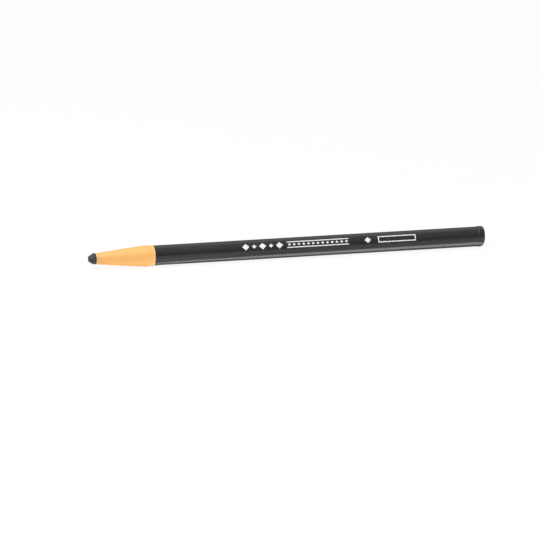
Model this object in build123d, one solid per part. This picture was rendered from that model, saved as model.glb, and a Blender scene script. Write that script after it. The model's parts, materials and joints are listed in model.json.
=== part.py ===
from build123d import *
import math
import os

# A paper-wrapped china marker, in millimetres. It lies on its side along X with its point towards -X, and
# the origin is on the table under the middle of its length.
#
# Paper ribbon is rolled round a wax lead in coils. Each turn of a coil lies a little further back than the
# turn inside it, so a coil is a hollow cone, and the coils nest one behind the other along the lead. Pulling
# the front coil away bares a little wax and leaves the same tapered nose one step further back. A cover is
# rolled over all the coils but the first. It tears along with the coil under it, so each coil that is next
# to come off has a ring of cover of its own. The tail is dipped to seal it.
#
# Outlines are drawn with X measured back from the tip of the wax and Y measured out from the lead's axis,
# and are then turned about that axis.

# Overall
LENGTH = 197.0  # tip of the wax to the end of the tail
BARREL_DIAMETER = 9.65  # over the cover

# Wax lead
LEAD_DIAMETER = 5.2
POINT_LENGTH = 3.4  # bare wax in front of the paper
POINT_TAPER = 2.2  # length over which the point comes to the lead's full diameter
POINT_FLAT = 3.0  # diameter of the blunt tip
POINT_WEAR = 0.3  # bevel that use leaves on the tip's rim

# Paper coils
COIL_TAPER = 24.2  # length over which a coil climbs from the lead to the cover
COIL_PITCH = 4.4  # wax that one coil lays bare when it comes off
FREE_COILS = 3  # coils at the front that are free to come off, one after the other
NOSE_EDGE = 0.06  # thickness of the nose's front edge
NOSE_BULGE = 0.08  # how far the middle of the nose stands out past a straight taper
SHOULDER_SWELL = 0.25  # how far the bare shoulder springs out past the cover
SHOULDER_BAND = 1.2  # length of the shoulder at its widest
SHOULDER_FALL = 2.0  # length over which it falls to the heel
HEEL_SWELL = 0.05  # how far the heel stands out past the cover

# Cover
COVER_WALL = 0.15
COVER_LAP_WIDTH = 2.6  # overlap where the rolled cover is glued to itself
COVER_LAP_STEP = 0.06  # height of the glued edge
COVER_LAP_ANGLE = -25.0  # where that edge lies, in degrees above +Y

# Tear string, pressed into the wax under the coils
STRING_DIAMETER = 0.5
STRING_SETBACK = 1.0  # from the nose's front edge to the string's end

# Dipped tail
DIP_LENGTH = 3.4  # tail that the dip coats
DIP_WALL = 0.15  # thickness of the coat over the cover
DIP_END = 1.6  # thickness of the coat over the end of the lead
DIP_ROUND = 1.5  # rounding of the end
DIP_FEATHER = 0.1  # bevel where the coat runs out on the cover

# Clearances, on the radius
LEAD_FIT = 0.03  # wax to paper
COIL_FIT = 0.03  # coil to coil
COVER_FIT = 0.03  # paper to cover
STRING_FIT = 0.03  # string to its groove
DIP_FIT = 0.03  # cover to dip
TEAR_GAP = 0.05  # one torn edge of the cover to the next, along the axis

# Radii
LEAD_RADIUS = LEAD_DIAMETER / 2
COIL_BORE = LEAD_RADIUS + LEAD_FIT
COVER_RADIUS = BARREL_DIAMETER / 2
COVER_BORE = COVER_RADIUS - COVER_WALL
COIL_RADIUS = COVER_BORE - COVER_FIT
SHOULDER_RADIUS = COVER_RADIUS + SHOULDER_SWELL
HEEL_RADIUS = COVER_RADIUS + HEEL_SWELL
DIP_RADIUS = COVER_RADIUS + DIP_FIT + DIP_WALL
STRING_RADIUS = STRING_DIAMETER / 2
STRING_OFFSET = LEAD_RADIUS - STRING_RADIUS  # the string lies flush with the lead, on its +Y side

# Stations along the axis, from the tip
NOSE_FRONT = POINT_LENGTH
SHOULDER = NOSE_FRONT + COIL_TAPER
STRING_FRONT = NOSE_FRONT + STRING_SETBACK
CORE_END = LENGTH - DIP_END  # where the lead, the paper and the cover all end
DIP_FRONT = LENGTH - DIP_LENGTH

# The clearance between coils, measured along the axis
COIL_SHIFT = COIL_FIT * COIL_TAPER / (COIL_RADIUS - COIL_BORE)

# The shoulder is the widest part, and lies on the table
REST = Location((-LENGTH / 2, 0, SHOULDER_RADIUS))


def turned(*outline):
    """The solid that a closed outline sweeps out about the lead's axis."""
    return revolve(make_face(Polyline(*outline, close=True)), Axis.X)


def seam(number):
    """Where the seam behind a coil leaves the lead."""
    return NOSE_FRONT + number * COIL_PITCH


def tear(number):
    """Where the seam behind a coil comes out under the cover, and the cover tears."""
    return seam(number) + COIL_TAPER


def string_rod(radius, start, end):
    """A rod on the string's line."""
    section = Plane((start, STRING_OFFSET, 0), z_dir=(1, 0, 0))
    return extrude(section * Circle(radius), end - start)


def wax_lead():
    """The wax core, with its blunt point and the groove that the string is pressed into."""
    rod = turned(
        (0, 0),
        (0, POINT_FLAT / 2),
        (POINT_TAPER, LEAD_RADIUS),
        (CORE_END, LEAD_RADIUS),
        (CORE_END, 0),
    )
    tip_rim = rod.edges().filter_by(GeomType.CIRCLE).sort_by(Axis.X)[0]
    rod = chamfer(tip_rim, POINT_WEAR)
    groove_radius = STRING_RADIUS + STRING_FIT
    mouth = Pos(STRING_FRONT, STRING_OFFSET, 0) * Box(
        CORE_END - STRING_FRONT,
        STRING_DIAMETER,
        2 * groove_radius,
        align=(Align.MIN, Align.MIN, Align.CENTER),
    )
    return rod - string_rod(groove_radius, STRING_FRONT, CORE_END) - mouth


def tear_string():
    """The thread that slits the front coil when it is pulled."""
    return string_rod(STRING_RADIUS, STRING_FRONT + STRING_FIT, CORE_END)


def nose_coil():
    """The front coil, bare of the cover: a full taper, a sprung shoulder, and a heel that meets the cover."""
    edge_radius = COIL_BORE + NOSE_EDGE
    middle_radius = (edge_radius + SHOULDER_RADIUS) / 2 + NOSE_BULGE
    return turned(
        (NOSE_FRONT, COIL_BORE),
        (NOSE_FRONT, edge_radius),
        (NOSE_FRONT + COIL_TAPER / 2, middle_radius),
        (SHOULDER, SHOULDER_RADIUS),
        (SHOULDER + SHOULDER_BAND, SHOULDER_RADIUS),
        (SHOULDER + SHOULDER_BAND + SHOULDER_FALL, HEEL_RADIUS),
        (tear(1) - TEAR_GAP, HEEL_RADIUS),
        (tear(1) - TEAR_GAP, COIL_RADIUS),
        (tear(1), COIL_RADIUS),
        (seam(1), COIL_BORE),
    )


def covered_coil(number):
    """A coil under the cover: a thin cone that hugs the lead in front and the cover behind."""
    return turned(
        (seam(number - 1) + COIL_SHIFT, COIL_BORE),
        (seam(number), COIL_BORE),
        (tear(number), COIL_RADIUS),
        (tear(number - 1) + COIL_SHIFT, COIL_RADIUS),
    )


def paper_winding():
    """The rest of the coils, which stay tight on the lead until those in front of them are gone."""
    return turned(
        (seam(FREE_COILS) + COIL_SHIFT, COIL_BORE),
        (CORE_END, COIL_BORE),
        (CORE_END, COIL_RADIUS),
        (tear(FREE_COILS) + COIL_SHIFT, COIL_RADIUS),
    )


def cover_outline():
    """The outside of the rolled cover, seen along the barrel: a circle with a low step at the glued edge."""
    lap_sweep = math.degrees(COVER_LAP_WIDTH / COVER_RADIUS)

    def corner(radius, share):
        return Vector(radius, 0).rotate(Axis.Z, COVER_LAP_ANGLE - share * lap_sweep)

    glued_edge = corner(COVER_RADIUS + COVER_LAP_STEP, 0)
    halfway = corner(COVER_RADIUS + COVER_LAP_STEP / 2, 1 / 2)
    run_out = corner(COVER_RADIUS, 1)
    top = ThreePointArc(glued_edge, halfway, run_out)
    base = Polyline(run_out, corner(COVER_BORE, 1), corner(COVER_BORE, 0), glued_edge)
    return Circle(COVER_RADIUS) + make_face(Curve() + [top, base])


def along_barrel(section, start, end):
    """A section, drawn as seen from the tail with +Y to the right, run along the barrel."""
    plane = Plane((start, 0, 0), x_dir=(0, 1, 0), z_dir=(1, 0, 0))
    return extrude(plane * section, end - start)


def cover(start, end):
    """A length of the rolled cover."""
    return along_barrel(cover_outline() - Circle(COVER_BORE), start, end)


def dipped_tail():
    """The coat on the tail: a rounded cup over the last of the cover, feathered where it runs out."""
    coat = turned(
        (DIP_FRONT, 0),
        (DIP_FRONT, DIP_RADIUS - DIP_FEATHER),
        (DIP_FRONT + DIP_FEATHER, DIP_RADIUS),
        (LENGTH, DIP_RADIUS),
        (LENGTH, 0),
    )
    end_rim = coat.edges().filter_by(GeomType.CIRCLE).sort_by(Axis.X)[-1]
    socket = along_barrel(offset(cover_outline(), DIP_FIT), DIP_FRONT, CORE_END)
    return fillet(end_rim, DIP_ROUND) - socket


def marker():
    """Every piece of the marker by name, with the tip of the wax at the origin."""
    pieces = {
        "wax_lead": wax_lead(),
        "tear_string": tear_string(),
        "peel_01": nose_coil(),
    }
    for number in range(2, FREE_COILS + 1):
        pieces[f"peel_{number:02d}"] = covered_coil(number)
        pieces[f"cover_ring_{number:02d}"] = cover(tear(number - 1), tear(number) - TEAR_GAP)
    pieces["paper_winding"] = paper_winding()
    pieces["barrel_cover"] = cover(tear(FREE_COILS), CORE_END)
    pieces["tail_dip"] = dipped_tail()
    return pieces


os.makedirs("parts", exist_ok=True)
for name, piece in marker().items():
    export_step(REST * piece, f"parts/{name}.step")
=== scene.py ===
import json
import math

import bmesh
import bpy
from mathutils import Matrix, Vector, noise


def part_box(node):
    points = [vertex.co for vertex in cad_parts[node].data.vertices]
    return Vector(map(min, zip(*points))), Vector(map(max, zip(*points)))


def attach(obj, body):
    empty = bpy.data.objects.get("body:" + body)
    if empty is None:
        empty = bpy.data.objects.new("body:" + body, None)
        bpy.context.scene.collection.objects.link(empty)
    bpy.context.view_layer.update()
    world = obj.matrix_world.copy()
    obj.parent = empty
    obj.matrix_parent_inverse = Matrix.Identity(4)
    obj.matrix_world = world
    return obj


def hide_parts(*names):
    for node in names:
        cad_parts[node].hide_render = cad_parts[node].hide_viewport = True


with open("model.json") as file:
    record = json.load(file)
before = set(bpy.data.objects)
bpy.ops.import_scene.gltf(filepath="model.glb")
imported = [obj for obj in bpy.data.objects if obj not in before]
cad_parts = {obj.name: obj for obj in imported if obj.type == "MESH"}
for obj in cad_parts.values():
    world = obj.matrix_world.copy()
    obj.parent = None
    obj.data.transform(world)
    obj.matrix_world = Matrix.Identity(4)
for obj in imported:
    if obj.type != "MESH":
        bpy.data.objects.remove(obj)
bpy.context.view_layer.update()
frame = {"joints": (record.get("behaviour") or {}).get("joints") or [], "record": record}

# A paper-wrapped china marker lying on a pale table with its point towards -X.
#
# A place on it is a station, a radius and an angle. Stations are measured back from the tip along the lead.
# Angles go round the lead's axis from +Y, the side that the string lies on, up towards +Z. Lengths are in
# metres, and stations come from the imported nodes.
#
# A pattern of unevenness is the length of its swells along the lead, and how busy it is round it.

MM = 0.001
FULL_TURN = 2 * math.pi

lead_low, lead_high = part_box("wax_lead")
TIP = lead_low.x
AXIS_HEIGHT = (lead_low.z + lead_high.z) / 2


def stations(node):
    """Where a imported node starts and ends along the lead."""
    low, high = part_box(node)
    return low.x - TIP, high.x - TIP


# Stations
CORE_END = stations("wax_lead")[1]
NOSE_FRONT, NOSE_REAR = stations("peel_01")
COIL_PITCH = stations("peel_03")[0] - stations("peel_02")[0]
SHOULDER = NOSE_REAR - COIL_PITCH
COIL_TAPER = SHOULDER - NOSE_FRONT
STRING_FRONT = stations("tear_string")[0]
DIP_FRONT, TAIL = stations("tail_dip")

# Assembly
FREE_COILS = len(frame["joints"])  # each coil that comes off has a joint of its own
FIT = 0.03 * MM  # clearance from one piece to the next, on the radius

# Lead
LEAD_RADIUS = 2.6 * MM
LEAD_RIPPLE = 0.012 * MM  # unevenness of the pressed lead
LEAD_PATTERN = (2 * MM, 1.5)
POINT_FLAT = 1.5 * MM  # radius of the blunt tip
POINT_TAPER = 2.2 * MM  # length over which the point comes to the lead's full radius
POINT_WEAR = 0.35 * MM  # length that the rounding of the blunt tip takes up
POINT_CHIP = 0.05 * MM  # depth of the small chips near the tip
CHIP_PATTERN = (0.5 * MM, 2.2)
POINT_SWELL = 0.3 * MM  # wax pressed out on top, in front of the paper
SWELL_STATION = 2.6 * MM
SWELL_LENGTH = 0.8 * MM
FACET_DEPTH = 0.86 * MM  # wax that writing has worn off one side of the tip
FACET_NORMAL = Vector((-0.66, -0.25, -0.71)).normalized()

# String
STRING_RADIUS = 0.25 * MM
STRING_OFFSET = LEAD_RADIUS - STRING_RADIUS  # the string lies flush with the lead
STRING_PLIES = 3
STRING_LAY = 1.1 * MM  # length of one turn of the twist
TWIST_END = 26 * MM  # the coils that come off bare the string no further back than this
PLY_SPACE = STRING_RADIUS / (1 + 1 / math.sin(math.pi / STRING_PLIES))  # radius of a ply's room in the twist
PLY_FULLNESS = 0.93  # share of that room that the ply takes up
GROOVE_RADIUS = STRING_RADIUS + FIT
GROOVE_RUN_IN = 0.45 * MM  # length over which the groove reaches its depth

# Cover
COVER_RADIUS = frame["record"]["mounts"][0]["dims"]["r_mm"] * MM
COVER_WALL = 0.15 * MM
COVER_BORE = COVER_RADIUS - COVER_WALL
COVER_GAP = 0.004 * MM  # between one torn edge and the next
COVER_RAGGED = 0.05 * MM  # unevenness of a torn edge
TORN_PATTERN = (MM, 4.0)
COVER_RIPPLE = 0.008 * MM  # unevenness of the rolled cover
COVER_PATTERN = (11 * MM, 0.8)
LAP_ANGLE = math.radians(-25)  # where the glued edge lies
LAP_STEP = 0.06 * MM  # height of the glued edge
LAP_WIDTH = 2.6 * MM  # overlap over which that step runs out
LAP_SWEEP = LAP_WIDTH / COVER_RADIUS

# Coils of paper ribbon
COIL_BORE = LEAD_RADIUS + FIT
COIL_RADIUS = COVER_BORE - FIT
COIL_TRIM = 0.4 * MM  # how far the feather edges of a coil's cones are cut back
COIL_FEATHER = 1.2 * MM  # plain cone in front of a coil's first outer turn and behind its last inner turn
COIL_RUN_OUT = 0.4 * MM  # length over which the last outer turn runs out into a coil's plain side
RIBBON_PITCH = 1.39 * MM  # from one turn of the ribbon to the next
RIBBON_STEP = 0.055 * MM  # how far a turn's front edge stands above the turn in front of it
RIBBON_WANDER = 0.09 * MM  # how far a turn's edge strays from its even line
WANDER_PATTERN = (1.7 * MM, 1.1)
RIBBON_PUCKER = 0.012 * MM  # how far the ribbon sinks between the places where it lies tight
PUCKER_PATTERN = (0.8 * MM, 3.0)

# Nose, the front coil
NOSE_EDGE = 0.06 * MM  # thickness of the nose's front edge
NOSE_EDGE_RADIUS = COIL_BORE + NOSE_EDGE
NOSE_BULGE = 0.08 * MM  # how far the middle of the nose stands out past a straight taper
NOSE_LIP = 0.15 * MM  # plain paper in front of the first turn
NOSE_RAGGED = 0.12 * MM  # unevenness of the nose's front edge
NOSE_PATTERN = (MM, 3.0)
SHOULDER_RADIUS = AXIS_HEIGHT  # the shoulder lies on the table
SHOULDER_BAND = 1.2 * MM  # length of the shoulder at its widest
SHOULDER_FALL = 2.0 * MM  # length over which it falls to the heel
HEEL_SWELL = 0.05 * MM  # how far the heel stands out past the cover
HEEL_RADIUS = COVER_RADIUS + HEEL_SWELL
HEEL_ROUND = 0.03 * MM  # how far the heel's edge is rounded off
HEEL_FADE = 0.45 * MM  # how far from its edge the heel begins to turn pale
HEEL_PALE_BAND = 0.22 * MM  # width of the pale band along the heel's edge
HEEL_BAND_PALENESS = 0.8  # how pale that band is along its front, as a share of the edge's paleness
HEEL_BAND_SPREAD = 0.5  # share of its width by which it varies
HEEL_PATTERN = (MM, 6.0)
SOIL_REACH = 10 * MM  # how far back the wax has soiled the paper

# Dipped tail
DIP_FIT = 0.01 * MM  # between the cover and the coat
DIP_WALL = 0.17 * MM  # thickness of the coat at its bead
DIP_RADIUS = COVER_RADIUS + DIP_FIT + DIP_WALL
DIP_WAVE = 0.3 * MM  # unevenness of the line where the coat runs out
DIP_WAVE_PHASE = 0.3  # place in the pattern that the line is taken from
DIP_PATTERN = (MM, 1.6)
DIP_BEAD = 0.5 * MM  # length of the bead, the thickened edge of the coat
DIP_COAT = 0.85  # thickness of the coat behind the bead, as a share of the bead's
DIP_ROUND = 1.6 * MM  # rounding of the end's rim, halfway up
DIP_SAG = 0.6 * MM  # how much rounder the rim is below than halfway up
DIP_CROWN = 0.05 * MM  # how far the end bulges

# The bead from its front to its rear, as shares of its length and of its thickness
BEAD_PROFILE = ((0.15, 0.55), (0.4, 0.9), (0.7, 1.0), (1.0, 0.93), (1.5, DIP_COAT))

# Stamped ornament, as stations along the barrel and heights across it
STAMP_ANGLE = math.radians(149.5)  # a little above the side that faces the camera
STAMP_RISE = 0.008 * MM  # how far the foil stands off the cover
STAMP_SINK = 0.006 * MM  # how far it is pressed in
STAMP_LINE = 0.5 * MM  # width of a stamped rule
LOZENGES = 5
LOZENGE_START = 77.0 * MM
LOZENGE_PITCH = 4.2 * MM
LOZENGE_SIZE = (3.5 * MM, 3.3 * MM)
LOZENGE_SMALL = 0.6  # every other one is smaller by this factor
RULES_START = 97.6 * MM
RULES_END = 128.4 * MM
RULES_HEIGHT = 2.8 * MM
RULES_BEADS = 13
RULES_BEAD_SIZE = (1.5 * MM, 1.25 * MM)
SINGLE_PLACE = 137.9 * MM
SINGLE_SIZE = (3.2 * MM, 3.0 * MM)
BAR_START = 143.0 * MM
BAR_END = 161.9 * MM
BAR_HEIGHT = 3.2 * MM

# Mesh, where a spacing is from one ring of points to the next
COLUMNS = 128  # points round a ring
ROUND_ANGLES = [FULL_TURN * column / COLUMNS for column in range(COLUMNS)]
COVER_ANGLES = [LAP_ANGLE + FULL_TURN * column / COLUMNS for column in range(COLUMNS + 1)]
RIBBON_SHARES = (0.0, 0.12, 0.5, 0.88, 1.0)  # rows of points across the ribbon
TIP_RINGS = 7
POINT_SPACING = 0.2 * MM
GROOVE_SPACING = 0.1 * MM
LEAD_SPACING = 0.7 * MM
GROOVE_COLUMNS = 8
PLY_SIDES = 12
TWIST_RINGS = 16  # in one turn of the twist
HIDDEN_SPACING = 20 * MM  # along the string where it never shows
SHOULDER_SPACING = 0.35 * MM
COVER_SPACING = 1.5 * MM
DIP_RIM_STEPS = 10
DIP_END_SHARES = (0.8, 0.6, 0.4, 0.2)  # rings on the end, as shares of its radius
STAMP_CELL = 0.6 * MM
SHARP_ANGLE = math.radians(40)
MERGE_DISTANCE = 0.0002 * MM

# Colours
PAPER_DEEP = (0.955, 0.475, 0.105, 1)
PAPER_LIGHT = (0.985, 0.523, 0.127, 1)
PAPER_PALE_EDGE = (0.98, 0.74, 0.42, 1)
PAPER_SOIL = (0.3, 0.22, 0.15, 1)
PULP_DARK = (0.42, 0.33, 0.22, 1)
PULP_LIGHT = (0.72, 0.6, 0.44, 1)
LACQUER_DARK = (0.0085, 0.0085, 0.009, 1)
LACQUER_LIGHT = (0.0125, 0.0125, 0.0135, 1)
LACQUER_RUBBED = (0.05, 0.05, 0.052, 1)
WAX_DARK = (0.017, 0.014, 0.02, 1)
WAX_LIGHT = (0.038, 0.032, 0.043, 1)
WAX_BLOOM = (0.1, 0.094, 0.105, 1)
WAX_CRUMB = (0.15, 0.143, 0.158, 1)
WAX_FRESH = (0.01, 0.0085, 0.012, 1)
COTTON_DARK = (0.55, 0.49, 0.39, 1)
COTTON_LIGHT = (0.8, 0.75, 0.64, 1)
ENAMEL_DARK = (0.0075, 0.0075, 0.008, 1)
ENAMEL_LIGHT = (0.0105, 0.0105, 0.0115, 1)
FOIL_WHITE = (0.86, 0.86, 0.85, 1)
FOIL_THIN = (0.12, 0.12, 0.12, 1)
FLOOR_COLOUR = (0.93, 0.93, 0.93, 1)

# Colour sockets of a Mix node
MIX_FIRST = 6
MIX_SECOND = 7
MIX_RESULT = 2

# Camera
PHOTO_SIZE = 540
PHOTO_MIDDLE = (286.25, 247.1)  # pixel where the middle of the marker's axis lies
PIXELS_PER_METRE = 2072.0
VIEW_AZIMUTH = math.radians(-14.7)
VIEW_ELEVATION = math.radians(13.1)
LENS = 800.0  # in millimetres, as the sensor's width is
SENSOR = 36.0

# Floor and sky
FLOOR_REACH = 6.0  # from the middle to each side
SEEN_GLOW = 0.9  # share of the floor's white that shadow leaves alone
MIRRORED_GLOW = 0.3  # the same, as gloss and glass show it
SKY_LOW = (0.1, 0.28)  # sine of an elevation, and the strength of the light from there
SKY_HIGH = (0.9, 0.62)

# Lamps, where a radiance of 1 is the picture's white
KEY_PLACE = Vector((-0.55, -0.35, 1.0))
KEY_AIM = Vector((0, 0, -1))
KEY_SIZE = (1.1, 1.35)
KEY_RADIANCE = 2.5
FILL_PLACE = Vector((-0.85, -1.2, 0.85))
FILL_SIZE = (1.1, 1.1)
FILL_RADIANCE = 0.75
BACK_PLACE = Vector((0.3, 0.7, 1.25))
BACK_SIZE = (1.2, 0.8)
BACK_RADIANCE = 0.5
CARD_PLACE = Vector((-57.5, -6.5, 0.4)) * MM
CARD_AIM = Vector((0, 0, 1))
CARD_SIZE = (85 * MM, 9 * MM)
CARD_RADIANCE = 0.3
CARD_TURN = math.radians(10)
FOOT_PLACE = Vector((55, -4.5, 0.4)) * MM
FOOT_AIM = Vector((0, 0.25, 1))
FOOT_SIZE = (250 * MM, 2.4 * MM)
FOOT_RADIANCE = 0.7
FOOT_TURN = math.radians(0.4)
FOOT_GRID = math.radians(60)


def between(low, high, share):
    return low + (high - low) * share


def smooth(share):
    """A share from 0 to 1, eased at both ends."""
    share = min(max(share, 0.0), 1.0)
    return share * share * (3 - 2 * share)


def spaced(start, end, spacing):
    """Stations from start to end, evenly spaced."""
    count = max(1, round((end - start) / spacing))
    return [between(start, end, number / count) for number in range(count + 1)]


def seam(number):
    """Where the seam behind a coil leaves the lead."""
    return NOSE_FRONT + number * COIL_PITCH


def tear(number):
    """Where the cover tears behind a coil."""
    return seam(number) + COIL_TAPER


def unevenness(station, angle, pattern):
    """Smooth noise from -1 to 1 over a surface round the axis."""
    length, turns = pattern
    return noise.noise(Vector((station / length, turns * math.cos(angle), turns * math.sin(angle))))


def placed(name, data):
    """A new object in the scene."""
    made = bpy.data.objects.new(name, data)
    bpy.context.scene.collection.objects.link(made)
    return made


class Lathe:
    """A skin of rings round the lead's axis, built one band after another."""

    def __init__(self, angles=ROUND_ANGLES):
        self.angles = angles
        self.points = []
        self.shares = []  # each point's place across the ribbon's width
        self.wear = []  # how far each point is worn, and at the nose's heel how pale the paper is
        self.faces = []
        self.finishes = []

    def point(self, station, radius, angle, share=0.5, wear=0.0):
        self.points.append(
            (TIP + station, radius * math.cos(angle), AXIS_HEIGHT + radius * math.sin(angle))
        )
        self.shares.append(share)
        self.wear.append(wear)
        return len(self.points) - 1

    def face(self, corners, finish=0):
        corners = list(dict.fromkeys(corners))
        if len(corners) > 2:
            self.faces.append(corners)
            self.finishes.append(finish)

    def ring(self, station, radius, wear=0.0):
        """A ring of points. Its station and radius are lengths, or functions of the angle."""
        points = []
        for angle in self.angles:
            here = station(angle) if callable(station) else station
            out = radius(angle) if callable(radius) else radius
            points.append(self.point(here, out, angle, wear=wear))
        return points

    def bridge(self, front, rear, finish=0):
        for column in range(len(front)):
            following = (column + 1) % len(front)
            self.face([front[column], rear[column], rear[following], front[following]], finish)

    def band(self, rings):
        for front, rear in zip(rings, rings[1:]):
            self.bridge(front, rear)

    def fan(self, ring, station):
        """Closes a ring with faces to a point on the axis."""
        middle = self.point(station, 0.0, 0.0)
        for column in range(len(ring)):
            self.face([ring[column], ring[(column + 1) % len(ring)], middle])

    def helix(self, start, end, skin, step):
        """A ribbon laid in turns over a skin, each turn dropping by a step from its front edge to its rear.
        Returns the first and the last ring of points."""
        turns = round((end - start) / RIBBON_PITCH)
        pitch = (end - start) / turns
        columns = len(self.angles)
        made = {}

        def end_ring(station):
            return [
                self.point(station, skin(station) - step * column / columns, angle, column / columns)
                for column, angle in enumerate(self.angles)
            ]

        def place(station, share, angle):
            tame = smooth(min(station - start, end - station) / pitch)
            station += tame * RIBBON_WANDER * unevenness(station, angle, WANDER_PATTERN)
            sunk = tame * RIBBON_PUCKER * (0.5 + 0.5 * unevenness(station, angle, PUCKER_PATTERN))
            out = skin(station) - step * share - math.copysign(sunk, step)
            return self.point(station, out, angle, share)

        def corner(row, column):
            row -= len(RIBBON_SHARES) * (column // columns)
            column %= columns
            share = RIBBON_SHARES[row % len(RIBBON_SHARES)]
            station = start + pitch * (row // len(RIBBON_SHARES) + share - column / columns)
            if station <= start:
                return first[column]
            if station >= end:
                return last[column]
            if (row, column) not in made:
                made[row, column] = place(station, share, self.angles[column])
            return made[row, column]

        first = end_ring(start)
        last = end_ring(end)
        for row in range((turns + 1) * len(RIBBON_SHARES) - 1):
            for column in range(columns):
                self.face(
                    [
                        corner(row, column),
                        corner(row + 1, column),
                        corner(row + 1, column + 1),
                        corner(row, column + 1),
                    ]
                )
        return first, last

    def make(self, name, finishes):
        """The finished mesh as an object, with its normals outwards and its corners sharp."""
        mesh = bpy.data.meshes.new(name)
        mesh.from_pydata(self.points, [], self.faces)
        for title, values in (("share", self.shares), ("wear", self.wear)):
            mesh.attributes.new(title, "FLOAT", "POINT").data.foreach_set("value", values)
        for finish in finishes:
            mesh.materials.append(finish)
        mesh.polygons.foreach_set("material_index", self.finishes)
        shell = bmesh.new()
        shell.from_mesh(mesh)
        bmesh.ops.remove_doubles(shell, verts=shell.verts, dist=MERGE_DISTANCE)
        bmesh.ops.dissolve_degenerate(shell, edges=shell.edges, dist=MERGE_DISTANCE)
        bmesh.ops.recalc_face_normals(shell, faces=shell.faces)
        shell.to_mesh(mesh)
        shell.free()
        mesh.shade_smooth()
        mesh.set_sharp_from_angle(angle=SHARP_ANGLE)
        return placed(name, mesh)


class Finish:
    """A material and the nodes that paint it, in the coordinates of the piece."""

    def __init__(self, name, **sockets):
        self.material = bpy.data.materials.new(name)
        self.material.use_nodes = True
        self.tree = self.material.node_tree
        self.shader = self.tree.nodes["Principled BSDF"]
        self.coordinates = self.node("TexCoord").outputs["Object"]
        self.fill(self.shader, sockets)

    def feed(self, socket, value):
        """Gives a socket a plain value, or a link from another node's output."""
        if isinstance(value, bpy.types.NodeSocket):
            self.tree.links.new(value, socket)
        else:
            socket.default_value = value

    def fill(self, node, sockets):
        """Feeds a node's sockets by name. A name is written with _ for each space."""
        for title, value in sockets.items():
            self.feed(node.inputs[title.replace("_", " ")], value)

    def node(self, kind, settings=None, **sockets):
        made = self.tree.nodes.new("ShaderNode" + kind)
        for title, value in (settings or {}).items():
            setattr(made, title, value)
        self.fill(made, sockets)
        return made

    def clouds(self, vector, scale, detail, roughness):
        made = self.node("TexNoise", Vector=vector, Scale=scale, Detail=detail, Roughness=roughness)
        return made.outputs["Fac"]

    def rolled(self, along, across, detail=3.0, roughness=0.55):
        """Noise with features of about those sizes along the lead and round it, as on rolled paper."""
        split = self.node("SeparateXYZ", Vector=self.coordinates).outputs
        height = self.maths("SUBTRACT", split["Z"], AXIS_HEIGHT)
        turn = self.maths("ARCTAN2", split["Y"], height)
        x = self.maths("DIVIDE", split["X"], along)
        y = self.maths("MULTIPLY", turn, COVER_RADIUS / across)
        vector = self.node("CombineXYZ", X=x, Y=y).outputs[0]
        return self.clouds(vector, 1.0, detail, roughness)

    def grain(self, size, detail=3.0, roughness=0.55, along=1.0):
        """Noise with features of about that size, drawn out along the lead by a factor."""
        vector = self.node("Mapping", Vector=self.coordinates, Scale=(1 / along, 1, 1)).outputs[0]
        return self.clouds(vector, 1 / size, detail, roughness)

    def spread(self, value, low, high, start=0.3, end=0.7):
        """A value from start to end, mapped to low to high."""
        made = self.node("MapRange", Value=value, From_Min=start, From_Max=end, To_Min=low, To_Max=high)
        return made.outputs[0]

    def attribute(self, title):
        return self.node("Attribute", {"attribute_name": title}).outputs["Fac"]

    def ramp(self, value, *stops):
        """Colours that a value passes through, as (value, colour) stops."""
        made = self.node("ValToRGB", Fac=value)
        elements = made.color_ramp.elements
        elements.remove(elements[1])
        elements[0].position, elements[0].color = stops[0]
        for place, colour in stops[1:]:
            elements.new(place).color = colour
        return made.outputs["Color"]

    def mixed(self, share, first, second, blend="MIX"):
        made = self.node("Mix", {"data_type": "RGBA", "blend_type": blend}, Factor=share)
        self.feed(made.inputs[MIX_FIRST], first)
        self.feed(made.inputs[MIX_SECOND], second)
        return made.outputs[MIX_RESULT]

    def maths(self, operation, first, second):
        made = self.node("Math", {"operation": operation})
        self.feed(made.inputs[0], first)
        self.feed(made.inputs[1], second)
        return made.outputs[0]

    def bumped(self, height, depth, strength=1.0, under=None):
        """A normal that follows a height, on top of the bumps of another normal if one is given."""
        made = self.node("Bump", Height=height, Distance=depth, Strength=strength)
        if under:
            self.feed(made.inputs["Normal"], under)
        return made.outputs["Normal"]

    def done(self, **sockets):
        self.fill(self.shader, sockets)
        return self.material


def grey(level):
    return (level, level, level, 1)


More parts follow.
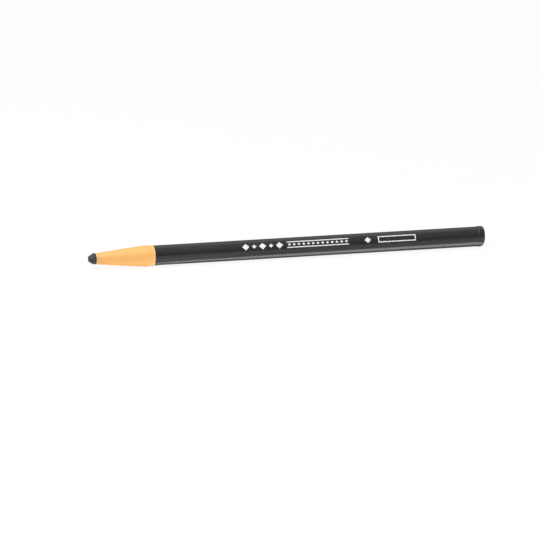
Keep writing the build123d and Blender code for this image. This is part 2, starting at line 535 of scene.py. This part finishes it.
def paper_finish():
    """Orange-dyed kraft paper, glazed by the rolling, with the edges of its turns drawn as fine darker lines
    of painted shade and dirt.
    """
    finish = Finish("orange_paper", Specular_IOR_Level=1.0)
    mottle = finish.rolled(1.2 * MM, 5 * MM, detail=4, roughness=0.6)
    fibre = finish.rolled(0.11 * MM, 0.55 * MM, detail=3, roughness=0.6)
    smear = finish.grain(1.3 * MM, detail=4, roughness=0.6)
    fibres = finish.ramp(fibre, (0.25, grey(0.86)), (0.5, grey(0.97)), (0.75, grey(1.04)))
    # painted shade and dirt: darker towards each turn's edges, most at the rear edge, which lies in the
    # corner under the next turn's step
    edges = finish.ramp(
        finish.attribute("share"),
        (0.0, grey(0.9)),
        (0.12, grey(1.0)),
        (0.86, grey(1.0)),
        (1.0, grey(0.76)),
    )
    place = finish.node("SeparateXYZ", Vector=finish.coordinates).outputs["X"]
    near = finish.spread(place, 1.0, 0.0, start=TIP + NOSE_FRONT, end=TIP + NOSE_FRONT + SOIL_REACH)
    soil = finish.maths("MULTIPLY", near, finish.spread(smear, 0.0, 0.3, start=0.42, end=0.75))
    colour = finish.ramp(mottle, (0.3, PAPER_DEEP), (0.7, PAPER_LIGHT))
    colour = finish.mixed(1.0, colour, fibres, "MULTIPLY")
    colour = finish.mixed(1.0, colour, edges, "MULTIPLY")
    # the heel's paper is paler towards its edge
    colour = finish.mixed(finish.attribute("wear"), colour, PAPER_PALE_EDGE)
    colour = finish.mixed(soil, colour, PAPER_SOIL)
    roughness = finish.spread(fibre, 0.38, 0.55)
    normal = finish.bumped(fibre, 0.012 * MM, strength=0.7)
    return finish.done(Base_Color=colour, Roughness=roughness, Normal=normal)


def raw_paper_finish():
    """The torn edge of the cover, where its pale core shows between the lacquer and the glue."""
    finish = Finish("torn_paper", Specular_IOR_Level=0.3)
    fibre = finish.grain(0.07 * MM, detail=5, roughness=0.7)
    colour = finish.ramp(fibre, (0.3, PULP_DARK), (0.65, PULP_LIGHT))
    roughness = finish.spread(fibre, 0.75, 0.95)
    normal = finish.bumped(fibre, 0.02 * MM)
    return finish.done(Base_Color=colour, Roughness=roughness, Normal=normal)


def lacquer_finish():
    """Satin black lacquer over rolled paper, with a faint lengthwise grain and fine rub marks."""
    finish = Finish("black_lacquer", Specular_IOR_Level=0.55)
    cloud = finish.grain(7 * MM, detail=3)
    grain = finish.grain(0.22 * MM, detail=3, along=14)
    rubs = finish.grain(0.12 * MM, detail=2, along=60)
    turns = finish.rolled(0.9 * MM, 30 * MM, detail=2)
    marks = finish.spread(rubs, 0.0, 1.0, start=0.66, end=0.78)
    colour = finish.ramp(cloud, (0.3, LACQUER_DARK), (0.7, LACQUER_LIGHT))
    colour = finish.mixed(finish.maths("MULTIPLY", marks, 0.18), colour, LACQUER_RUBBED)
    roughness = finish.spread(cloud, 0.25, 0.31)
    roughness = finish.maths("ADD", roughness, finish.maths("MULTIPLY", marks, 0.1))
    normal = finish.bumped(turns, 0.02 * MM, strength=0.5)
    normal = finish.bumped(grain, 0.006 * MM, strength=0.5, under=normal)
    return finish.done(Base_Color=colour, Roughness=roughness, Normal=normal)


def wax_finish():
    """Charcoal wax, streaked along the lead by the pressing, with a greasy bloom that writing wears off."""
    finish = Finish("charcoal_wax", Specular_IOR_Level=0.5)
    streaks = finish.grain(0.35 * MM, detail=4, along=8)
    crumb = finish.grain(0.14 * MM, detail=5, roughness=0.7)
    bloom = finish.grain(0.9 * MM, detail=4)
    worn = finish.attribute("wear")
    fresh = finish.maths("MULTIPLY", worn, finish.spread(crumb, 1.0, 0.55, start=0.4, end=0.65))
    colour = finish.ramp(streaks, (0.3, WAX_DARK), (0.7, WAX_LIGHT))
    colour = finish.mixed(finish.spread(bloom, 0.0, 0.4, start=0.5, end=0.75), colour, WAX_BLOOM)
    colour = finish.mixed(finish.spread(crumb, 0.0, 0.5, start=0.62, end=0.75), colour, WAX_CRUMB)
    colour = finish.mixed(fresh, colour, WAX_FRESH)
    roughness = finish.spread(bloom, 0.32, 0.52)
    roughness = finish.maths("ADD", roughness, finish.maths("MULTIPLY", worn, 0.2))
    normal = finish.bumped(crumb, 0.03 * MM, strength=0.7)
    normal = finish.bumped(streaks, 0.02 * MM, strength=0.5, under=normal)
    return finish.done(Base_Color=colour, Roughness=roughness, Normal=normal)


def cotton_finish():
    """Unbleached cotton thread."""
    finish = Finish("cotton", Specular_IOR_Level=0.2, Sheen_Weight=0.3)
    fibre = finish.grain(0.03 * MM, detail=4, along=6)
    colour = finish.ramp(fibre, (0.3, COTTON_DARK), (0.65, COTTON_LIGHT))
    roughness = finish.spread(fibre, 0.8, 0.95)
    normal = finish.bumped(fibre, 0.01 * MM)
    return finish.done(Base_Color=colour, Roughness=roughness, Normal=normal)


def dip_finish():
    """Thick black enamel, dried with a faint orange peel."""
    finish = Finish("black_enamel", Specular_IOR_Level=0.5, Coat_Weight=0.25, Coat_Roughness=0.12)
    peel = finish.grain(0.8 * MM, detail=2)
    dust = finish.grain(0.1 * MM, detail=2)
    colour = finish.ramp(peel, (0.3, ENAMEL_DARK), (0.7, ENAMEL_LIGHT))
    roughness = finish.spread(dust, 0.2, 0.3)
    normal = finish.bumped(peel, 0.01 * MM, strength=0.6)
    return finish.done(Base_Color=colour, Roughness=roughness, Normal=normal)


def foil_finish():
    """White stamping foil, thin in places where it didn't take."""
    finish = Finish("white_foil", Specular_IOR_Level=0.5)
    wear = finish.grain(0.25 * MM, detail=4, roughness=0.7)
    colour = finish.mixed(finish.spread(wear, 0.0, 0.7, start=0.6, end=0.72), FOIL_WHITE, FOIL_THIN)
    roughness = finish.spread(wear, 0.38, 0.52)
    normal = finish.bumped(wear, 0.004 * MM, strength=0.5)
    return finish.done(Base_Color=colour, Roughness=roughness, Normal=normal)


def lead_ring(lathe, station, radius, chip=0.0, groove=0.0):
    """A ring of the lead, chipped to a depth, with the groove cut to a share of its own depth."""
    mouth = math.asin(GROOVE_RADIUS / LEAD_RADIUS)
    swell = POINT_SWELL * smooth(1 - abs(station - SWELL_STATION) / SWELL_LENGTH)
    ring = []
    for column in range(COLUMNS + 1):
        angle = mouth + (FULL_TURN - 2 * mouth) * column / COLUMNS
        uneven = chip * min(unevenness(station, angle, CHIP_PATTERN), 0.0)
        uneven += LEAD_RIPPLE * unevenness(station, angle, LEAD_PATTERN)
        uneven += swell * smooth(math.sin(angle))
        ring.append(lathe.point(station, radius + uneven, angle))
    for column in range(1, GROOVE_COLUMNS):
        bed_angle = math.pi * (column / GROOVE_COLUMNS - 0.5)
        across = radius * math.sin(mouth) * math.sin(bed_angle)
        surface = math.sqrt(radius**2 - across**2)
        bed = STRING_OFFSET - GROOVE_RADIUS * math.cos(bed_angle)
        depth = between(surface, bed, groove)
        ring.append(lathe.point(station, math.hypot(depth, across), math.atan2(across, depth)))
    return ring


def wear_down(lathe):
    """Cuts the lead back to the facet that writing has worn on it, and marks the worn wax."""
    facet = Vector((TIP, 0, AXIS_HEIGHT)) - FACET_NORMAL * (FACET_DEPTH - POINT_FLAT)
    for number, point in enumerate(lathe.points):
        cut = max((Vector(point) - facet).dot(FACET_NORMAL), 0.0)
        lathe.points[number] = tuple(Vector(point) - cut * FACET_NORMAL)
        lathe.wear[number] = 1.0 if cut > 0 or point[0] < TIP + POINT_WEAR / 2 else 0.0


def wax_core():
    """The lead: a blunt point worn on one side, and the groove that the string lies in."""

    def cone(station):
        return between(POINT_FLAT, LEAD_RADIUS, min(station / POINT_TAPER, 1.0))

    lathe = Lathe()
    rings = []
    for number in range(TIP_RINGS):
        turn = math.pi / 2 * number / (TIP_RINGS - 1)
        station = POINT_WEAR * (1 - math.sin(turn))
        radius = cone(POINT_WEAR) - POINT_WEAR * (1 - math.cos(turn))
        rings.insert(0, lead_ring(lathe, station, radius, chip=POINT_CHIP))
    lathe.fan(rings[0], 0.0)
    for station in spaced(POINT_WEAR, NOSE_FRONT, POINT_SPACING)[1:]:
        rings.append(lead_ring(lathe, station, cone(station), chip=POINT_CHIP))
    groove_start = STRING_FRONT - GROOVE_RUN_IN
    for station in spaced(groove_start, STRING_FRONT, GROOVE_SPACING):
        depth = smooth((station - groove_start) / GROOVE_RUN_IN)
        rings.append(lead_ring(lathe, station, LEAD_RADIUS, groove=depth))
    for station in spaced(STRING_FRONT, TWIST_END, LEAD_SPACING)[1:]:
        rings.append(lead_ring(lathe, station, LEAD_RADIUS, groove=1.0))
    rings.append(lead_ring(lathe, CORE_END, LEAD_RADIUS, groove=1.0))
    lathe.band(rings)
    lathe.face(rings[-1])
    wear_down(lathe)
    return lathe.make("wax_core", [wax_finish()])


def ply_ring(lathe, station, turn):
    """A ring round one ply of the thread, which lies at an angle round the thread's middle."""
    middle_y = STRING_OFFSET + (STRING_RADIUS - PLY_SPACE) * math.cos(turn)
    middle_z = (STRING_RADIUS - PLY_SPACE) * math.sin(turn)
    ring = []
    for side in range(PLY_SIDES):
        corner = FULL_TURN * side / PLY_SIDES
        y = middle_y + PLY_FULLNESS * PLY_SPACE * math.cos(corner)
        z = middle_z + PLY_FULLNESS * PLY_SPACE * math.sin(corner)
        ring.append(lathe.point(station, math.hypot(y, z), math.atan2(z, y)))
    return ring


def string_plies():
    """The thread, twisted where coming off can bare it and straight where it never shows."""
    lathe = Lathe()
    steps = spaced(STRING_FRONT, TWIST_END, STRING_LAY / TWIST_RINGS)
    steps += spaced(TWIST_END, CORE_END, HIDDEN_SPACING)[1:]
    for ply in range(STRING_PLIES):
        rings = []
        for station in steps:
            twist = FULL_TURN * (min(station, TWIST_END) - STRING_FRONT) / STRING_LAY
            rings.append(ply_ring(lathe, station, twist + FULL_TURN * ply / STRING_PLIES))
        lathe.band(rings)
        lathe.face(rings[0])
        lathe.face(rings[-1])
    return lathe.make("string_plies", [cotton_finish()])


def nose_skin(station):
    """The outside of the nose's taper, a little fuller than a cone."""
    share = (station - NOSE_FRONT) / COIL_TAPER
    return between(NOSE_EDGE_RADIUS, SHOULDER_RADIUS, share) + 4 * NOSE_BULGE * share * (1 - share)


def cone_from(front):
    """The cone that a coil's seam follows from a station on the lead."""
    return lambda station: between(COIL_BORE, COIL_RADIUS, (station - front) / COIL_TAPER)


def nose_paper(paper):
    """The front coil: ribbon climbing in fine steps, a sprung shoulder, and a heel with a pale edge."""
    heel = NOSE_REAR - COVER_GAP

    def ragged_line(angle):
        return NOSE_FRONT + NOSE_RAGGED * abs(unevenness(0.0, angle, NOSE_PATTERN))

    def pale_line(angle):
        return heel - HEEL_PALE_BAND * (1 + HEEL_BAND_SPREAD * unevenness(NOSE_REAR, angle, HEEL_PATTERN))

    lathe = Lathe()
    bore = lathe.ring(ragged_line, COIL_BORE)
    lip = lathe.ring(ragged_line, NOSE_EDGE_RADIUS - RIBBON_STEP)
    outer_front, outer_rear = lathe.helix(NOSE_FRONT + NOSE_LIP, SHOULDER, nose_skin, RIBBON_STEP)
    shoulder = []
    for station in spaced(SHOULDER, heel - HEEL_FADE, SHOULDER_SPACING)[1:]:
        fall = smooth((station - SHOULDER - SHOULDER_BAND) / SHOULDER_FALL)
        shoulder.append(lathe.ring(station, between(SHOULDER_RADIUS, HEEL_RADIUS, fall)))
    pale_band = lathe.ring(pale_line, HEEL_RADIUS, wear=HEEL_BAND_PALENESS)
    edge = lathe.ring(heel, HEEL_RADIUS - HEEL_ROUND, wear=1.0)
    inner_front, inner_rear = lathe.helix(seam(1), heel, cone_from(seam(1)), -RIBBON_STEP)
    lathe.band([inner_front, bore, lip, outer_front])
    lathe.band([outer_rear, *shoulder, pale_band, edge, inner_rear])
    return lathe.make("peel_01_paper", [paper])


def coil_paper(number, paper):
    """A coil under the cover: a hollow cone of ribbon with thin edges."""
    lathe = Lathe()
    node_front, node_rear = stations(f"peel_{number:02d}")
    outer_skin = cone_from(node_front)
    outer_end = node_front + COIL_TAPER
    inner_skin = cone_from(seam(number))
    inner_end = node_rear - COIL_FEATHER
    lip = node_front + COIL_TRIM
    tail = node_rear - COIL_TRIM
    bore = lathe.ring(lip, COIL_BORE)
    edge = lathe.ring(lip, outer_skin(lip))
    outer_front, outer_rear = lathe.helix(node_front + COIL_FEATHER, outer_end, outer_skin, RIBBON_STEP)
    side_front = lathe.ring(outer_end + COIL_RUN_OUT, COIL_RADIUS)
    side_rear = lathe.ring(tail, COIL_RADIUS)
    inner_edge = lathe.ring(tail, inner_skin(tail))
    inner_front, inner_rear = lathe.helix(seam(number), inner_end, inner_skin, -RIBBON_STEP)
    lathe.band([inner_front, bore, edge, outer_front])
    lathe.band([outer_rear, side_front, side_rear, inner_edge, inner_rear])
    return lathe.make(f"peel_{number:02d}_paper", [paper])


def winding_paper(paper):
    """The coils that stay on the lead, which show as the next nose once the free ones are gone."""
    lathe = Lathe()
    front, rear = stations("paper_winding")
    skin = cone_from(front)
    lip = front + COIL_TRIM
    outer_end = front + COIL_TAPER
    bore = lathe.ring(lip, COIL_BORE)
    edge = lathe.ring(lip, skin(lip))
    outer_front, outer_rear = lathe.helix(front + COIL_FEATHER, outer_end, skin, RIBBON_STEP)
    side_front = lathe.ring(outer_end + COIL_RUN_OUT, COIL_RADIUS)
    side_rear = lathe.ring(rear, COIL_RADIUS)
    bore_rear = lathe.ring(rear, COIL_BORE)
    lathe.band([bore_rear, bore, edge, outer_front])
    lathe.band([outer_rear, side_front, side_rear, bore_rear])
    return lathe.make("winding_paper", [paper])


def cover_radius(station, angle):
    """The outside of the rolled cover, with the low step of its glued edge."""
    past_edge = LAP_ANGLE + FULL_TURN - angle
    lap = LAP_STEP * max(0.0, 1 - past_edge / LAP_SWEEP)
    ripple = COVER_RIPPLE * (0.5 + 0.5 * unevenness(station, angle, COVER_PATTERN))
    return COVER_RADIUS + lap - ripple


def torn_line(station, phase):
    """A torn edge round the cover, as a station for each angle. A phase of its own makes it unlike others."""
    return lambda angle: station + COVER_RAGGED * unevenness(phase, angle, TORN_PATTERN)


def straight_line(station):
    return lambda angle: station


def part_way(front, rear, share):
    """The line that lies a share of the way from one line round the cover to another."""
    return lambda angle: between(front(angle), rear(angle), share)


def cover_tube(name, front, rear, lacquer, raw):
    """A length of the cover between two edges, each given as a station for each angle."""
    lathe = Lathe(COVER_ANGLES)
    count = max(2, round((rear(0.0) - front(0.0)) / COVER_SPACING))
    outside = []
    for number in range(count + 1):
        line = part_way(front, rear, number / count)
        outside.append(lathe.ring(line, lambda angle: cover_radius(line(angle), angle)))
    inside = [lathe.ring(edge, COVER_BORE) for edge in (front, rear)]
    finishes = [lacquer, raw]
    torn = finishes.index(raw)
    lathe.band(outside)
    lathe.band(inside)
    lathe.bridge(inside[0], outside[0], torn)
    lathe.bridge(outside[-1], inside[1], torn)
    return lathe.make(name, finishes)


def dip_coat():
    """The dipped tail: a wavy run-out with a bead behind it, a rounded rim and a slightly crowned end."""
    lathe = Lathe(COVER_ANGLES)
    rim_radius = between(COVER_RADIUS, DIP_RADIUS, DIP_COAT)

    def run_out(angle):
        return DIP_FRONT + DIP_WAVE * (0.5 + 0.5 * unevenness(DIP_WAVE_PHASE, angle, DIP_PATTERN))

    def skin(angle):
        return cover_radius(DIP_FRONT, angle) + DIP_FIT

    def rounding(angle):
        return DIP_ROUND - DIP_SAG * math.sin(angle)

    def bead_ring(share, thickness):
        return lathe.ring(
            lambda angle: run_out(angle) + share * DIP_BEAD,
            lambda angle: between(skin(angle), DIP_RADIUS, thickness),
        )

    def rim_ring(turn):
        return lathe.ring(
            lambda angle: TAIL - DIP_CROWN - rounding(angle) * (1 - math.sin(turn)),
            lambda angle: rim_radius - rounding(angle) * (1 - math.cos(turn)),
        )

    def end_ring(share):
        return lathe.ring(
            TAIL - DIP_CROWN * share**2,
            lambda angle: (rim_radius - rounding(angle)) * share,
        )

    rings = [lathe.ring(CORE_END, skin), lathe.ring(run_out, skin)]
    rings += [bead_ring(share, thickness) for share, thickness in BEAD_PROFILE]
    rings += [rim_ring(math.pi / 2 * number / DIP_RIM_STEPS) for number in range(DIP_RIM_STEPS + 1)]
    rings += [end_ring(share) for share in DIP_END_SHARES]
    lathe.band(rings)
    lathe.fan(rings[-1], TAIL)
    lathe.fan(rings[0], CORE_END)
    return lathe.make("dip_coat", [dip_finish()])


def foil_point(lathe, along, up, lift):
    """A point of foil, at a station along the barrel, a height across it and a lift off the cover."""
    angle = STAMP_ANGLE - up / COVER_RADIUS
    return lathe.point(along, cover_radius(along, angle) + lift, angle)


def stamped(lathe, corners):
    """A four-cornered patch of foil on the cover. Corners are stations and heights, going round the patch."""
    columns = max(2, round(math.dist(corners[0], corners[1]) / STAMP_CELL))
    rows = max(2, round(math.dist(corners[1], corners[2]) / STAMP_CELL))

    def patch_point(row, column, lift):
        across = row / rows
        share = column / columns
        along, up = (
            between(between(first, second, share), between(fourth, third, share), across)
            for first, second, third, fourth in zip(*corners)
        )
        return foil_point(lathe, along, up, lift)

    rims = []
    for lift in (STAMP_RISE, -STAMP_SINK):
        grid = [[patch_point(row, column, lift) for column in range(columns + 1)] for row in range(rows + 1)]
        for line, following in zip(grid, grid[1:]):
            for column in range(columns):
                lathe.face([line[column], line[column + 1], following[column + 1], following[column]])
        right = [line[-1] for line in grid[1:-1]]
        left = [line[0] for line in grid[-2:0:-1]]
        rims.append(grid[0] + right + grid[-1][::-1] + left)
    lathe.bridge(*rims)


def outlined(lathe, start, end, height):
    """A rectangle of foil drawn as an outline, in one closed piece."""
    long_cells = round((end - start) / STAMP_CELL)
    short_cells = round(2 * height / STAMP_CELL)  # half as long, because these sides bend round the barrel

    def loop(lift, inset):
        low = inset - height / 2
        high = height / 2 - inset
        corners = [(start + inset, low), (end - inset, low), (end - inset, high), (start + inset, high)]
        points = []
        for number, cells in enumerate((long_cells, short_cells, long_cells, short_cells)):
            along_1, up_1 = corners[number]
            along_2, up_2 = corners[(number + 1) % len(corners)]
            for cell in range(cells):
                share = cell / cells
                along = between(along_1, along_2, share)
                points.append(foil_point(lathe, along, between(up_1, up_2, share), lift))
        return points

    outside = [loop(lift, 0.0) for lift in (-STAMP_SINK, STAMP_RISE)]
    inside = [loop(lift, STAMP_LINE) for lift in (STAMP_RISE, -STAMP_SINK)]
    lathe.band([*outside, *inside, outside[0]])


def lozenge(lathe, place, size, factor=1.0):
    half_length, half_height = (factor * side / 2 for side in size)
    stamped(
        lathe,
        [
            (place - half_length, 0.0),
            (place, -half_height),
            (place + half_length, 0.0),
            (place, half_height),
        ],
    )


def rule(lathe, start, end, middle):
    low = middle - STAMP_LINE / 2
    high = middle + STAMP_LINE / 2
    stamped(lathe, [(start, low), (end, low), (end, high), (start, high)])


def stamped_ornament():
    """White foil along the barrel: lozenges, a beaded double rule, and an outlined bar."""
    lathe = Lathe()
    for number in range(LOZENGES):
        factor = LOZENGE_SMALL if number % 2 else 1.0
        lozenge(lathe, LOZENGE_START + number * LOZENGE_PITCH, LOZENGE_SIZE, factor)
    for side in (-1, 1):
        rule(lathe, RULES_START, RULES_END, side * RULES_HEIGHT / 2)
    for number in range(RULES_BEADS):
        place = between(RULES_START, RULES_END, (number + 0.5) / RULES_BEADS)
        lozenge(lathe, place, RULES_BEAD_SIZE)
    lozenge(lathe, SINGLE_PLACE, SINGLE_SIZE)
    outlined(lathe, BAR_START, BAR_END, BAR_HEIGHT)
    return lathe.make("stamped_ornament", [foil_finish()])


def dress(piece, body, node=None):
    """Puts a piece on its body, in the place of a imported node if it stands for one."""
    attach(piece, body)
    if node:
        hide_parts(node)


def marker():
    """Every piece of the marker."""
    paper = paper_finish()
    lacquer = lacquer_finish()
    raw = raw_paper_finish()
    dress(wax_core(), "barrel", "wax_lead")
    dress(string_plies(), "barrel", "tear_string")
    dress(nose_paper(paper), "peel_01", "peel_01")
    front = straight_line(tear(1))
    for number in range(2, FREE_COILS + 1):
        body = f"peel_{number:02d}"
        rear = torn_line(tear(number) - COVER_GAP, number + 1)
        tube = cover_tube(f"ring_{number:02d}_cover", front, rear, lacquer, raw)
        dress(coil_paper(number, paper), body, body)
        dress(tube, body, f"cover_ring_{number:02d}")
        front = torn_line(tear(number), number + 1)
    dress(winding_paper(paper), "barrel", "paper_winding")
    barrel = cover_tube("barrel_lacquer", front, straight_line(CORE_END), lacquer, raw)
    dress(barrel, "barrel", "barrel_cover")
    dress(dip_coat(), "barrel", "tail_dip")
    dress(stamped_ornament(), "barrel")


def floor():
    """A pale table. Its own white shows to the camera and in gloss, under a soft shadow."""
    mesh = bpy.data.meshes.new("floor")
    corners = [(-1, -1), (1, -1), (1, 1), (-1, 1)]
    mesh.from_pydata([(x * FLOOR_REACH, y * FLOOR_REACH, 0) for x, y in corners], [], [(0, 1, 2, 3)])
    finish = Finish("pale_table", Base_Color=FLOOR_COLOUR, Roughness=0.9, Specular_IOR_Level=0.0)
    path = finish.node("LightPath").outputs
    seen = finish.maths("MULTIPLY", path["Is Camera Ray"], SEEN_GLOW)
    mirrored = finish.maths("MAXIMUM", path["Is Glossy Ray"], path["Is Transmission Ray"])
    mirrored = finish.maths("MULTIPLY", mirrored, MIRRORED_GLOW)
    glow = finish.node("Emission", Color=grey(1.0), Strength=1.0)
    blend = finish.node("MixShader", Fac=finish.maths("MAXIMUM", seen, mirrored))
    finish.feed(blend.inputs[1], finish.shader.outputs[0])
    finish.feed(blend.inputs[2], glow.outputs[0])
    finish.feed(finish.tree.nodes["Material Output"].inputs["Surface"], blend.outputs[0])
    mesh.materials.append(finish.material)
    placed("floor", mesh)


def sky():
    """Soft light from all round, brighter from above."""
    world = bpy.data.worlds.new("studio")
    bpy.context.scene.world = world
    world.use_nodes = True
    nodes = world.node_tree.nodes
    links = world.node_tree.links
    split = nodes.new("ShaderNodeSeparateXYZ")
    links.new(nodes.new("ShaderNodeTexCoord").outputs["Generated"], split.inputs[0])
    level = nodes.new("ShaderNodeMapRange")
    for end, (height, strength) in (("Min", SKY_LOW), ("Max", SKY_HIGH)):
        level.inputs["From " + end].default_value = height
        level.inputs["To " + end].default_value = strength
    links.new(split.outputs["Z"], level.inputs["Value"])
    background = nodes["Background"]
    background.inputs["Color"].default_value = grey(1.0)
    links.new(level.outputs[0], background.inputs["Strength"])


def lamp(name, place, aim, size, radiance, shape="RECTANGLE", turn=0.0, grid=math.pi):
    """A flat lamp that the camera doesn't see, turned about the line that it shines along. A grid on it
    narrows the spread of its light."""
    light = bpy.data.lights.new(name, "AREA")
    light.shape = shape
    light.spread = grid
    light.size, light.size_y = size
    fullness = 1.0 if shape == "RECTANGLE" else math.pi / 4  # share of its rectangle that it fills
    light.energy = radiance * math.pi * fullness * size[0] * size[1]
    made = placed(name, light)
    made.location = place
    made.rotation_euler = aim.to_track_quat("-Z", "Y").to_euler()
    made.rotation_euler.rotate_axis("Z", turn)
    made.visible_camera = False


def lamps():
    """Softboxes above the point's side, in front and behind, and two lamps that lie on the table: a card
    whose light comes up under the nose, and a strip at the barrel's foot that the lacquer mirrors."""
    middle = Vector((0, 0, AXIS_HEIGHT))
    lamp("key", KEY_PLACE, KEY_AIM, KEY_SIZE, KEY_RADIANCE)
    lamp("fill", FILL_PLACE, middle - FILL_PLACE, FILL_SIZE, FILL_RADIANCE)
    lamp("back", BACK_PLACE, middle - BACK_PLACE, BACK_SIZE, BACK_RADIANCE)
    lamp("card", CARD_PLACE, CARD_AIM, CARD_SIZE, CARD_RADIANCE, "ELLIPSE", CARD_TURN)
    lamp("foot", FOOT_PLACE, FOOT_AIM, FOOT_SIZE, FOOT_RADIANCE, "ELLIPSE", FOOT_TURN, FOOT_GRID)


def camera():
    """A long lens at the photograph's angle, aimed so that the marker lies where it does there."""
    data = bpy.data.cameras.new("camera")
    data.lens = LENS
    data.sensor_width = SENSOR
    back = Vector(
        (
            math.sin(VIEW_AZIMUTH) * math.cos(VIEW_ELEVATION),
            -math.cos(VIEW_AZIMUTH) * math.cos(VIEW_ELEVATION),
            math.sin(VIEW_ELEVATION),
        )
    )
    turn = (-back).to_track_quat("-Z", "Y")
    right = turn @ Vector((1, 0, 0))
    up = turn @ Vector((0, 1, 0))
    picture_middle = (PHOTO_SIZE - 1) / 2
    across = (PHOTO_MIDDLE[0] - picture_middle) / PIXELS_PER_METRE
    above = (picture_middle - PHOTO_MIDDLE[1]) / PIXELS_PER_METRE
    middle = Vector((TIP + TAIL / 2, 0, AXIS_HEIGHT))
    distance = PHOTO_SIZE * LENS / SENSOR / PIXELS_PER_METRE
    made = placed("camera", data)
    made.location = middle - right * across - up * above + back * distance
    made.rotation_mode = "QUATERNION"
    made.rotation_quaternion = turn
    bpy.context.scene.camera = made


camera()
marker()
floor()
sky()
lamps()
bpy.context.scene.view_settings.view_transform = "Standard"
